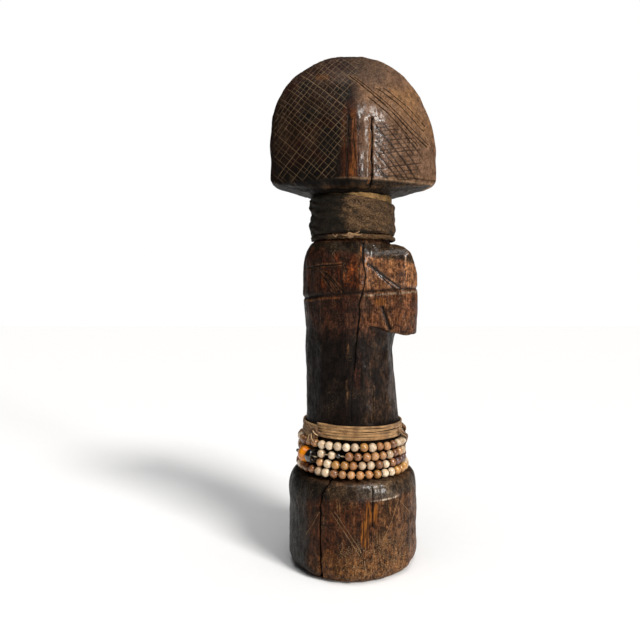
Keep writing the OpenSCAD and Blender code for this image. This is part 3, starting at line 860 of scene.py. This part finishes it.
def carved_figure():
    """The carving: facets and waves along the normals, then cracks and grooves, then the patina with its
    painted light and shade.
    """
    mesh = base_mesh(0.52)
    bvh = BVHTree.FromPolygons([v.co for v in mesh.vertices], [p.vertices for p in mesh.polygons])
    lines = []
    for (side, kind), cuts in CUTS.items():
        wander = 0.16 if kind == "crack" else 0.1
        lines += [(project(bvh, side, line, wander), width, depth, kind) for width, depth, line in cuts]
    refine(mesh, [line for line, *_ in lines], 1.0)
    co, normal, edges = points_of(mesh), normals_of(mesh), edges_of(mesh)
    flat, gloss = co.copy(), gloss_of(co)
    net = step(np.abs(noise(co, 1.15, 2, 45, (1, 1, 1.3))), 0.26, 0.02)
    co += normal * ((shape_wood(co) - 0.11 * net * gloss) * step(co[:, 2], 0.0, 1.2))[:, None]
    co[:, 2] = np.maximum(co[:, 2], 0)
    put_points(mesh, co)
    normal = normals_of(mesh)
    pointed = np.sum((co - blur(co, edges, 14)) * normal, 1)
    marks = {kind: np.zeros(len(co)) for kind in ("crack", "scratch", "groove", "lip", "wall")}
    depth_at = np.zeros(len(co))
    for line, width, depth, kind in lines:
        index, d = near_line(flat, line, width * 2.6)
        swell = 1 + 0.35 * noise(co[index], 2.5, 1, 40)
        depth_at[index] = np.maximum(depth_at[index], depth * step(d, width * swell, 0.15 * width))
        marks[kind][index] = np.maximum(marks[kind][index], step(d, width * swell * 0.95, width * 0.3))
        if kind == "groove":
            marks["lip"][index] = np.maximum(marks["lip"][index], bump(d, 1.5 * width, 0.7 * width))
    # the ring cut round the torso
    x, y, z = co.T
    ring = bump(z - RING_Z - x * RING_SLOPE + 0.25 * noise(co, 6, 2, 41), 0, 1.3)
    ring *= step(np.hypot(x, y), 18, 19.5)
    depth_at = np.maximum(depth_at, 0.6 * ring)
    marks["groove"] = np.maximum(marks["groove"], 0.9 * ring)
    families, strength, left = head_fields(co)
    head = step(z, 173.5, 176)
    drawn = []
    for u, own in families:
        drawn.append(head * strength * own)
        depth_at = np.maximum(depth_at, 0.17 * drawn[-1] * step(np.abs(u - np.round(u)), 0.16, 0.02))
    band = head * bump(np.hypot(x, np.maximum(z - CROWN_Z, 0)), 36.4, 0.8) * step(z, 176, 179)
    low = head * bump(z + 0.3 * noise(co, 8, 2, 43), 177.6, 0.7)
    depth_at = np.maximum(depth_at, 0.22 * band)
    put_points(mesh, settle_head(co - normal * depth_at[:, None]))
    colour, bare, dull, scuff, grain = paint_wood(flat, pointed)
    lip = (0.24 + 0.16 * head) * marks["lip"] * (1 - marks["groove"])
    colour = mix(colour, srgb(150, 112, 76), lip)
    # painted light: the lit wall beside a crack is painted lighter brown
    colour = mix(colour, srgb(118, 74, 38), 0.8 * marks["wall"])
    colour = mix(colour, srgb(12, 8, 5), np.clip(marks["groove"], 0, 1) * 0.93)
    above = head * bump(z + 0.4 * noise(co, 9, 2, 46), 179.5, 0.8) * step(x, 5, 9)
    colour = mix(colour, srgb(14, 9, 6), 0.9 * above)
    colour = mix(colour, srgb(150, 120, 92), 0.8 * low * step(x, -12, 8) * (1 - marks["groove"]))
    tint = np.where((left > 0.5)[:, None], srgb(124, 101, 76), srgb(20, 13, 9))
    values = {
        "patina_and_painted_light": colour, "bare": bare, "dull": dull, "scuff": scuff, "crack": marks["crack"],
        "grain": grain, "gloss": gloss, "thinness": np.where(left > 0.5, 1.0, 0.38),
        "scratch": marks["scratch"], "hatch_a": families[0][0], "hatch_b": families[1][0],
        "drawn_a": drawn[0], "drawn_b": drawn[1], "line_tint": tint,
    }
    for key, value in values.items():
        put_value(mesh, key, value)
    return place(mesh, "carved_figure", wood_look(), "figure", ["wood_figure"])


# ---------------------------------------------------------------- the collar


def band_mesh(rows, columns, section):
    """Points and faces of a closed band round Z: section(u, v) gives a point for angles u and rows v."""
    u = np.repeat(np.linspace(0, 360, columns, endpoint=False)[:, None], rows, 1)
    v = np.repeat(np.arange(rows)[None], columns, 0)
    return section(u, v).reshape(-1, 3), ring_faces(columns, rows)


def band_share(v, outer, inner):
    """Whether rows v are on the outside, and how far up the band they are, from 0 to 1."""
    out = v < outer
    return out, np.where(out, v / (outer - 1), 1 - (v - outer) / (inner - 1))


# Folds that slant round the collar: height on the side facing -Y, width and size
FOLDS = [
    (158.2, 1.2, 0.55), (162.3, 0.9, 0.4), (165.8, 1.4, 0.6), (149.5, 1.1, 0.5),
    (171.4, 1.2, 0.45), (176, 1.5, 0.5), (145, 1.3, 0.4),
]


def hide_collar():
    """Dark hide wound on the neck: a closed band whose top edge dips in front, where the lining shows."""
    columns, outer, inner = ((420, 46, 8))
    rows = outer + inner

    def section(u, v):
        turn = np.radians(u)
        out, t = band_share(v, outer, inner)
        ring = around(turn, 20, 0 * turn)
        low = 153.9 + 0.5 * noise(ring, 14, 2, 50) + 0.25 * noise(ring, 4, 2, 51)
        high = 170.6 + 0.55 * noise(ring, 13, 2, 52) + 0.3 * noise(ring, 3.5, 2, 53)
        high = high + 1.0 - 3.1 * np.maximum(0, np.cos(turn + 0.3)) ** 1.5
        z = low + (high - low) * t
        wall = around(turn, 20, z)
        slant = z + 0.28 * 20 * ((turn + pi / 2 + pi) % (2 * pi) - pi)
        fold = np.zeros_like(z)
        for level, width, size in FOLDS:
            fold += size * bump(slant + 1.2 * noise(wall, 9, 2, 54), level, width * 1.6)
        r = 19.95 + fold * 1.1 + 0.42 * noise(wall, 5, 3, 55) + 0.2 * noise(wall, 1.7, 2, 56)
        # the strip's end laps over its start, with a slanting edge
        past = np.degrees((turn - radians(118)) % (2 * pi))
        r += 0.75 * (step(past - 0.9 * (z - 162), 0, 2.2) * step(past, 96, 40))
        back = step(np.cos(turn - pi), 0.1, 0.9)
        r += back * (0.2 * bump(z, 168.6, 2.4) + 0.15 * bump(z, 159, 3) - 0.45 * bump(z, 164.2, 2))
        curl = step(t, 0.93, 1.0) + step(t, 0.07, 0.0)
        r = np.where(out, r - 0.5 * curl, 18.95)
        return around(turn, r, z)

    points, faces = band_mesh(rows, columns, section)
    row = np.tile(np.arange(rows), columns)
    edge = np.maximum(step(row, outer - 3, outer - 1) * (row < outer), step(row, 1.5, 0))
    shade = step(points[:, 0] + 4 * noise(points, 3.5, 3, 57), 4, -11)
    shade = shade + 0.5 * step(noise(points, 4, 2, 58), 0.3, 0.8)
    reach = np.hypot(points[:, 0], points[:, 1])
    shade += 0.55 * step(reach, 20.15, 19.6)
    edge = np.maximum(edge * 0.6, 0.7 * step(reach + 0.3 * noise(points, 2.5, 2, 59), 20.7, 21.4))
    values = {"edge": edge, "shade": np.clip(shade, 0, 1)}
    look = hide_look("hide", srgb(27, 18, 12), srgb(92, 68, 46), srgb(158, 122, 84))
    return new_object("hide_collar", points, faces, look, "figure", ["neck_hide_wrap"], values)


def pale_lining():
    """Thin pale hide between the wood and the collar."""
    columns, outer, inner = ((300, 14, 5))
    rows = outer + inner

    def section(u, v):
        turn = np.radians(u)
        out, t = band_share(v, outer, inner)
        ring = around(turn, 18, 0 * turn)
        high = 171.9 + 0.45 * noise(ring, 5, 3, 60) + 0.3 * noise(ring, 1.8, 2, 61)
        z = 154.2 + (np.minimum(high, 172.6) - 154.2) * t
        r = np.where(out, 18.75 + 0.15 * noise(around(turn, 18, z), 2.5, 2, 62), 17.75)
        return around(turn, r, z)

    points, faces = band_mesh(rows, columns, section)
    look = hide_look("pale_hide", srgb(96, 66, 34), srgb(164, 124, 74), srgb(206, 168, 112), 0.7)
    edge = 0.6 * step(points[:, 2], 170.5, 172)
    shade = 0.85 * step(points[:, 0] + 3 * noise(points, 4, 2, 63), 3, -9)
    values = {"edge": edge, "shade": shade}
    return new_object("pale_lining", points, faces, look, "figure", ["neck_lining_strip"], values)


def strands(path, count, reach, radius, turns, seed, sides=6, closed=False, roughness=0.25):
    """Strands twisted round a path, as tube parts."""
    path = np.asarray(path, float)
    n = len(path)
    if closed:
        tangent = np.roll(path, -1, 0) - np.roll(path, 1, 0)
    else:
        tangent = np.gradient(path, axis=0)
    tangent /= np.linalg.norm(tangent, axis=1)[:, None]
    across = np.cross(tangent, [0.12, 0.07, 1.0])
    across /= np.linalg.norm(across, axis=1)[:, None]
    other = np.cross(tangent, across)
    parts = []
    for s in range(count):
        phase = 2 * pi * s / count
        t = np.linspace(0, 1, n, endpoint=not closed)
        turn = 2 * pi * turns * t + phase
        wobble = 1 + roughness * noise(np.stack([t * 60, 0 * t + s, 0 * t], 1), 1.0, 2, seed)
        way = across * np.cos(turn)[:, None] + other * np.sin(turn)[:, None]
        thick = 1 + 0.18 * noise(np.stack([t * 40, 0 * t, 0 * t + s], 1), 1.0, 2, seed + 1)
        parts.append(tube(path + way * (reach * wobble)[:, None], radius * thick, sides, closed))
    return parts


def neck_thong():
    """Three plies of hide that lie on the torso under the collar."""
    n = 300
    turn = np.linspace(0, 2 * pi, n, endpoint=False)
    ring = np.stack([0.25 + 19.15 * np.cos(turn), 19.15 * np.sin(turn), 152.3 + 0.25 * np.sin(turn * 2 + 1)], 1)
    ring += noise(ring, 6, 2, 65)[:, None] * np.array([0, 0, 0.25])
    points, faces, fibre = join(strands(ring, 3, 0.5, 0.7, 7, 66, 8, closed=True))
    points[:, 2] = np.maximum(points[:, 2], 151.1)
    shade = 0.8 * step(points[:, 0] + 4 * noise(points, 4, 2, 67), -3, -13)
    hide = hide_look("thong_hide", srgb(52, 34, 19), srgb(104, 74, 46), srgb(150, 118, 82))
    values = {"fibre": fibre, "edge": 0 * shade, "shade": shade}
    return new_object("neck_thong_twist", points, faces, hide, "figure", ["neck_thong"], values)


def trefoil(centre, outward, loop, gap, count, squash=1.0):
    """A closed knot path in the plane facing outward."""
    outward = unit(np.asarray(outward, float))
    up = np.array([0, 0, 1.0])
    side = unit(np.cross(up, outward))
    up = np.cross(outward, side)
    t = np.linspace(0, 2 * pi, count, endpoint=False)
    reach = loop + gap * np.cos(3 * t)
    return (
        centre
        + np.outer(reach * np.cos(2 * t), side)
        + np.outer(reach * np.sin(2 * t), up) * squash
        + np.outer(gap * np.sin(3 * t), outward)
    )


def thong_knot(fibre_material):
    """The thong's knot, its three short ends and a loose fibre further back."""
    knot = trefoil(np.array([-1, -21.9, 152.25]), [0, -1, 0], 0.85, 0.42, 60, 0.85)
    parts = [tube(knot, 0.42, 7, closed=True)]
    ends = [
        [(-0.2, -22.1, 152.6), (1.2, -22.3, 152.9), (2.3, -21.7, 153.5), (3.2, -21.3, 154.2)],
        [(0.2, -22.1, 152.4), (1.6, -22.2, 152.4), (3.2, -21.6, 152.5), (4.4, -21.2, 152.9)],
        [(-1.8, -22.1, 152.3), (-3.4, -21.9, 152.2), (-4.8, -21.2, 152.6)],
        [(-6.8, -20.9, 152.7), (-7.6, -20.6, 151.9), (-8.4, -20.3, 152.3), (-8.9, -20.2, 153.1)],
    ]
    parts += [tube(smooth_path(end, 16), np.linspace(0.34, 0.14, 16), 6) for end in ends]
    return fibre_object(parts, "neck_thong_end_knot", fibre_material, "figure", ["neck_thong_knot"])


# ---------------------------------------------------------------- the waist cord and its knots


CORD_TURNS = 5
KNOT_ANGLE = -43
# How far up and out of its turn each strand of the cord lies, and its half width
CORD_STRANDS = [
    (0.0, 0.0, 0.54), (0.3, 0.22, 0.24), (-0.3, 0.2, 0.22), (0.1, 0.42, 0.17), (-0.12, 0.36, 0.16),
]


def waist_cord(material):
    """Five flat turns of bast, each of a few strands that drift apart and together."""
    per_turn = 110
    parts = []
    for s, (up, out, width) in enumerate(CORD_STRANDS):
        t = np.arange(CORD_TURNS * per_turn + 1) / per_turn
        angle = KNOT_ANGLE + 360 * t
        ring = np.stack([np.cos(np.radians(angle)) * 4, np.sin(np.radians(angle)) * 4, t * 3], 1)
        wave = noise(ring, 2.2, 2, 70 + s)
        r = 23.25 + out + 0.12 * noise(ring, 1.5, 2, 75 + s)
        z = 67 - 1.27 * t + up + 0.26 * wave + 0.16 * noise(ring, 5, 2, 69)
        path = np.stack([at(a, rr, zz) for a, rr, zz in zip(angle, r, z)])
        flat = path * [1, 1, 0]
        size = width * (1 + 0.3 * noise(ring, 1.4, 2, 80 + s))
        parts.append(tube(path, size, 8 if s == 0 else 6, flat=flat, flatness=0.8, start=40 * s))
    return fibre_object(parts, "bast_wrap", material, "girdle", ["waist_cord"])


# Where the cord knot's frayed ends and pale strings start and end: angle, radius and height
KNOT_ENDS = [
    ((-42, 26, 62.6), (-39.6, 26.2, 58.9)),
    ((-45, 26, 62.4), (-47.5, 26.6, 59.8)),
    ((-38.5, 25.5, 64.2), (-32, 25, 63.0)),
    ((-47, 25.8, 65), (-51.5, 25.7, 66.6)),
    ((-44, 26.2, 62), (-43.2, 26.8, 59.4)),
]
KNOT_STRINGS = [
    ((-43, 27.2, 63.0), (-40.4, 27.0, 59.6)),
    ((-45, 27.3, 62.6), (-46.2, 27.6, 59.3)),
    ((-41, 27.0, 64.4), (-36.5, 26.0, 62.4)),
]


def cord_knot(material):
    """Three knotted loops one over the other, with frayed ends and paler strings."""
    centre = at(KNOT_ANGLE, 25.3, 63.8)
    outward = [sin(radians(KNOT_ANGLE)), -cos(radians(KNOT_ANGLE)), 0]
    parts = []
    for scale, lift, seed in ((1.3, 0.0, 1), (1.0, 0.45, 2), (0.6, 0.9, 3)):
        knot = trefoil(centre + np.array(outward) * lift, outward, 1.4 * scale, 0.62 * scale, 90, 0.92)
        knot += np.stack([noise(knot, 1.5, 1, k + seed) for k in (84, 86, 88)], 1) * 0.4
        parts += strands(knot, 3, 0.26, 0.25, 9, 90 + seed, 6, closed=True)
    for start, end in KNOT_ENDS:
        a, b = at(*start), at(*end)
        middle = (a + b) / 2 + unit(np.array(outward)) * 0.5
        path = smooth_path([a, middle, b], 14)
        beside = unit(np.cross(b - a, outward))
        parts += [tube(path + 0.12 * k * beside, np.linspace(0.30, 0.12, 14), 6) for k in (-1, 1)]
    strings = []
    for start, end in KNOT_STRINGS:
        a, b = at(*start), at(*end)
        path = smooth_path([a, (a + b) / 2 + 0.5 * np.array(outward), b], 14)
        strings.append(tube(path, np.linspace(0.28, 0.16, 14), 6))
    pale = fibre_look("pale_bast", srgb(140, 100, 62), srgb(206, 170, 122), srgb(240, 216, 176))
    fibre_object(strings, "knot_strings", pale, "girdle", ())
    return fibre_object(parts, "bast_knot", material, "girdle", ["waist_cord_knot"])


def tie_cord(material):
    """Uprights and bindings that hold the ends of the upper rows."""
    parts = []
    for angle, seed in ((85, 1), (90, 2), (95, 3)):
        z = np.linspace(48.9, 64.4, 46)
        path = []
        for level in z:
            sway = 0.8 * noise(np.array([[level / 4, seed, 0]]), 1, 2, 95)[0]
            path.append(at(angle + sway, 24.85 - 0.5 * step(level, 61.5, 64), level))
        parts += strands(np.stack(path), 2, 0.34, 0.42, 5.5, 96 + seed, 7)
    for level in (50.6, 56.3, 62):
        for lift in (-0.42, 0.0, 0.42):
            a = np.linspace(82.5, 97.5, 20)
            height = level + lift + 0.2 * np.sin(a)
            path = np.stack([25.4 * np.sin(np.radians(a)), -25.4 * np.cos(np.radians(a)), height], 1)
            parts.append(tube(path, 0.36, 6))
    # a loose bunch of fibres that comes down from the cord over the top row
    for k in range(9):
        lean = k / 8
        stops = np.array([
            at(59 + 16 * lean, 24.9, 64.4 - 0.3 * k),
            at(66 + 12 * lean, 25.5, 62.2 - 0.15 * k),
            at(72 + 9 * lean, 26.2, 60.2),
            at(78 + 6 * lean, 26.1, 57.6 + 0.3 * (k % 3)),
            at(83 + 3 * lean, 25.2, 55.6),
        ])
        path = smooth_path(stops + noise(stops, 2, 1, 140 + k)[:, None] * 0.3, 26)
        parts.append(tube(path, np.linspace(0.36, 0.2, 26), 6, start=30 * k))
    return fibre_object(parts, "tie_binding", material, "girdle", ["girdle_tie"])


# ---------------------------------------------------------------- threads and beads

# Height and radius of each row of beads, from the top, and the rows' bare stretches: from and to an
# angle, how far the thread dips inwards there and how far it rises
ROW_Z = [58.3, 54.2, 50.2, 46.4]
ROW_R = [24.45, 24.45, 24.45, 25.2]
BARE = [None, (-63, -39, 1.5, 0.8), (-59, -41, 1.5, 0.0), None]


def row_point(row, angle):
    """A place on the thread of a row, which dips inwards on its bare stretch."""
    r, z = ROW_R[row], ROW_Z[row]
    if BARE[row]:
        low, high, dip, rise = BARE[row]
        share = min(1.0, max(0.0, min(angle - low, high - angle) / 2))
        r, z = r - dip * share, z + rise * share
    return at(angle, r, z)


def row_threads(material):
    """Two plies for each row; the bottom row is a closed loop."""
    for row, name in enumerate(("top", "second", "third", "bottom")):
        closed = row == 3
        steps = 260
        angles = np.linspace(0, 360, steps, endpoint=False) if closed else np.linspace(85, -265, steps)
        path = np.stack([row_point(row, a) for a in angles])
        plies = strands(path, 2, 0.15, 0.19, 60, 100 + row, 5, closed=closed, roughness=0.1)
        fibre_object(plies, name + "_thread_ply", material, "girdle", [name + "_row_thread"])


def bead_profile(radius, hole, length, rows):
    """Radius and height pairs round one bead's section, outside then hole."""
    end = min(0.985, length / (2 * radius))
    top = asin(min(end, (1 - (hole / radius) ** 2) ** 0.5))
    lat = np.linspace(-top, top, rows)
    outer = [(radius * cos(a), radius * sin(a)) for a in lat]
    edge_r, edge_z = outer[-1]
    if edge_r > hole + 0.3:
        ring = [(edge_r - 0.12, edge_z + 0.04), (hole + 0.14, edge_z + 0.03), (hole, edge_z - 0.12)]
    else:
        ring = [(hole, edge_z - 0.05)]
    low = [(r, -z) for r, z in reversed(ring)]
    return low + outer + ring + [(hole - 0.01, 0.0)]


def lathe(profile, sides, uneven=0.0, seed=0):
    """Points and faces of a profile turned round Z, closed into a ring."""
    radius, height = np.array(profile).T
    turn = 2 * pi * np.arange(sides) / sides
    points = around(turn[:, None], radius, height).reshape(-1, 3)
    if uneven:
        size = 1 + uneven * noise(points + 13.7 * seed, 2.6, 2, 120)
        points = points * size[:, None]
    return points, ring_faces(sides, len(profile))


def loose_parts(mesh):
    """Vertex index arrays of a mesh's separate pieces, joined over doubled points."""
    co = np.round(points_of(mesh), 3)
    _, same = np.unique(co, axis=0, return_inverse=True)
    same = same.ravel()
    edges = same[edges_of(mesh)]
    label = np.arange(same.max() + 1)
    while True:
        low = label.copy()
        np.minimum.at(low, edges[:, 0], label[edges[:, 1]])
        np.minimum.at(low, edges[:, 1], label[edges[:, 0]])
        low = low[low]
        if np.array_equal(low, label):
            break
        label = low
    mine = label[same]
    return [np.nonzero(mine == k)[0] for k in np.unique(mine)]


def axis_frame(angle):
    """Columns of a frame whose Z runs along the thread at that angle."""
    a = radians(angle)
    way = unit(np.array([cos(a), sin(a), -cos(a) * TILT]))
    out = np.array([sin(a), -cos(a), 0.0])
    out = unit(out - way * np.dot(out, way))
    return np.stack([out, np.cross(way, out), way], 1)


def bead_group(node, name, material, slot, body="girdle", length=None, hole=0.5, spread=0.06):
    """Beads at the places of a CAD node's solids, each a little different."""
    mesh = nodes[node].data
    co = points_of(mesh)
    sides, rows = ((22, 13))
    parts, tones, owns, bead_end_shades = [], [], [], []
    own_rng = np.random.default_rng(len(node) * 31 + len(name))
    for index in loose_parts(mesh):
        p = co[index]
        centre = (p.min(0) + p.max(0)) / 2
        angle = np.degrees(atan2(centre[0], -centre[1]))
        axes = axis_frame(angle)
        local = (p - centre) @ axes
        radius = np.abs(local[:, :2]).max()
        size = radius * (1 + spread * own_rng.uniform(-1, 0.35))
        long = length or 2 * size * own_rng.uniform(0.86, 0.97)
        points, faces = lathe(bead_profile(size, hole, long, rows), sides, 0.05, own_rng.uniform(0, 9))
        depth = np.abs(points[:, 2]) / size
        spin = own_rng.uniform(0, 2 * pi)
        turn = np.array([[cos(spin), -sin(spin), 0], [sin(spin), cos(spin), 0], [0, 0, 1]])
        shift = own_rng.uniform(-0.12, 0.12, 3) * (size < 2.2)
        parts.append((points @ turn.T @ axes.T + centre + shift @ axes.T, faces, points))
        tones.append(np.full(len(points), own_rng.uniform(0, 1)))
        owns.append(points @ turn.T + own_rng.uniform(-40, 40, 3))
        # painted shade on the bead's ends, where it meets its neighbours
        bead_end_shades.append(step(depth, 0.8, 1.0))
    points, faces, _ = join(parts)
    values = {"tone": np.concatenate(tones), "own": np.concatenate(owns), "bead_end_shade": np.concatenate(bead_end_shades)}
    return new_object(name, points, faces, material, body, [node], values)


def all_beads():
    """The stone beads by kind, the glass beads and the amber bead."""
    # dark, base and light colour, and how strong the banding is
    kinds = {
        "cream": (srgb(138, 98, 62), srgb(184, 156, 122), srgb(214, 194, 166), 0.5),
        "tan": (srgb(98, 56, 28), srgb(156, 106, 62), srgb(190, 144, 96), 0.7),
        "honey": (srgb(112, 66, 26), srgb(160, 108, 50), srgb(194, 146, 82), 0.6),
        "orange": (srgb(90, 48, 20), srgb(150, 98, 50), srgb(182, 130, 80), 0.7),
        "brown": (srgb(48, 26, 14), srgb(108, 66, 36), srgb(146, 98, 58), 0.85),
        "dark": (srgb(28, 15, 13), srgb(62, 38, 32), srgb(96, 64, 52), 0.7),
    }
    for kind, (dark, base, light, band) in kinds.items():
        look = bead_look(kind + "_bead", dark, base, light, band)
        bead_group(kind + "_beads", kind + "_stone_beads", look, kind + "_bead")
    black = glass_look()
    bead_group("black_spacer_bead", "spacer_glass_bead", black, "black_bead", spread=0.0)
    bead_group("seed_bead", "seed_glass_bead", black, "black_bead", hole=0.35, spread=0.0)
    disc = {"body": "black_disc_bead", "length": 3.2, "hole": 0.7, "spread": 0.0}
    bead_group("black_disc_bead", "disc_glass_bead", black, "black_bead", **disc)
    amber = bead_look("amber", srgb(98, 40, 0), srgb(204, 106, 0), srgb(228, 142, 8), 0.45)
    big = {"body": "amber_bead", "length": 5.2, "hole": 0.7, "spread": 0.0}
    bead_group("amber_bead", "amber_round_bead", amber, "amber", **big)


AMBER_ANGLE, DISC_ANGLE = -54.5, -44.5
CHARM_R, CHARM_Z = 26.4, 52.8


def charm_thread(material):
    """The charm beads' thread: straight through the amber and the disc, with a bend between them."""
    amber_way, disc_way = axis_frame(AMBER_ANGLE)[:, 2], axis_frame(DISC_ANGLE)[:, 2]
    stops = [
        at(-75.6, 26.9, 52.4),
        at(-70.4, 26.9, 52.4),
        at(AMBER_ANGLE, CHARM_R, CHARM_Z) - 2.6 * amber_way,
        at((AMBER_ANGLE + DISC_ANGLE) / 2, CHARM_R / cos(radians(5)), CHARM_Z),
        at(DISC_ANGLE, CHARM_R, CHARM_Z) + 1.9 * disc_way,
        at(-38.8, 25.3, 52.5),
    ]
    plies = strands(along_line(stops, 0.25), 2, 0.13, 0.16, 14, 130, 5, roughness=0.1)
    return fibre_object(plies, "charm_thread_ply", material, "girdle", ["charm_thread"])


# ---------------------------------------------------------------- floor, light and camera


def stage():
    """A white floor, 5 m square, just under the foot."""
    look = Look("pale_floor", roughness=0.7, specular=0.2)
    look.set("Base Color", look.mix(look.noise(6.0, 2), (0.89, 0.89, 0.89), (0.91, 0.91, 0.91)))
    n = 9
    reach = np.linspace(-2500, 2500, n)
    points = [(x, y, -0.02) for x in reach for y in reach]
    corners = (0, n, n + 1, 1)
    faces = [tuple(i * n + j + k for k in corners) for i in range(n - 1) for j in range(n - 1)]
    new_object("studio_floor", points, faces, look.material)


def sun(name, azimuth, elevation, strength, spread, colour=(1, 1, 1)):
    """Even light from azimuth degrees round from the camera towards +X."""
    data = bpy.data.lights.new(name, "SUN")
    data.energy = strength
    data.angle = radians(spread)
    data.color = colour
    a, e = radians(azimuth), radians(elevation)
    obj = bpy.data.objects.new(name, data)
    obj.location = (sin(a) * cos(e), -cos(a) * cos(e), sin(e))
    obj.rotation_euler = Vector(obj.location).to_track_quat("Z", "Y").to_euler()
    bpy.context.scene.collection.objects.link(obj)


def lights_and_camera():
    warm = (1.0, 0.985, 0.96)
    sun("key_light", 42, 42, 2.7, 16, warm)
    sun("low_light", 46, 13, 1.0, 9, warm)
    sun("top_light", 10, 80, 1.55, 45)
    world = bpy.data.worlds.new("studio")
    world.use_nodes = True
    tree = world.node_tree
    backdrop = tree.nodes["Background"]
    backdrop.inputs["Color"].default_value = (1, 1, 1, 1)
    # plain white behind the object, and only a little light from all round
    seen = tree.nodes.new("ShaderNodeMath")
    seen.operation = "MAXIMUM"
    seen.inputs[1].default_value = 0.06
    tree.links.new(tree.nodes.new("ShaderNodeLightPath").outputs["Is Camera Ray"], seen.inputs[0])
    tree.links.new(seen.outputs[0], backdrop.inputs["Strength"])
    bpy.context.scene.world = world
    bpy.context.scene.view_settings.view_transform = "Standard"
    camera = bpy.data.cameras.new("camera")
    camera.lens = 33.75
    camera.sensor_width = 36
    camera.shift_x, camera.shift_y = -0.0508, -0.0312
    camera.clip_start, camera.clip_end = 0.01, 20
    obj = bpy.data.objects.new("camera", camera)
    obj.location = (0, -0.289, 0.1234)
    obj.rotation_euler = (pi / 2, 0, 0)
    bpy.context.scene.collection.objects.link(obj)
    bpy.context.scene.camera = obj


carved_figure()
hide_collar()
pale_lining()
neck_thong()
bast = fibre_look("bast_cord", srgb(66, 38, 15), srgb(178, 132, 80), srgb(240, 206, 150))
dark_bast = fibre_look("dark_bast", srgb(64, 42, 24), srgb(142, 104, 66), srgb(190, 150, 102))
pale_cord = fibre_look("pale_thread", srgb(140, 112, 80), srgb(200, 176, 140), srgb(226, 208, 178))
thong_knot(fibre_look("raw_hide_fibre", srgb(60, 34, 18), srgb(168, 126, 82), srgb(236, 206, 160)))
waist_cord(bast)
cord_knot(fibre_look("knot_bast", srgb(44, 24, 11), srgb(118, 80, 46), srgb(206, 168, 120)))
tie_cord(dark_bast)
row_threads(pale_cord)
all_beads()
charm_thread(pale_cord)
stage()
lights_and_camera()
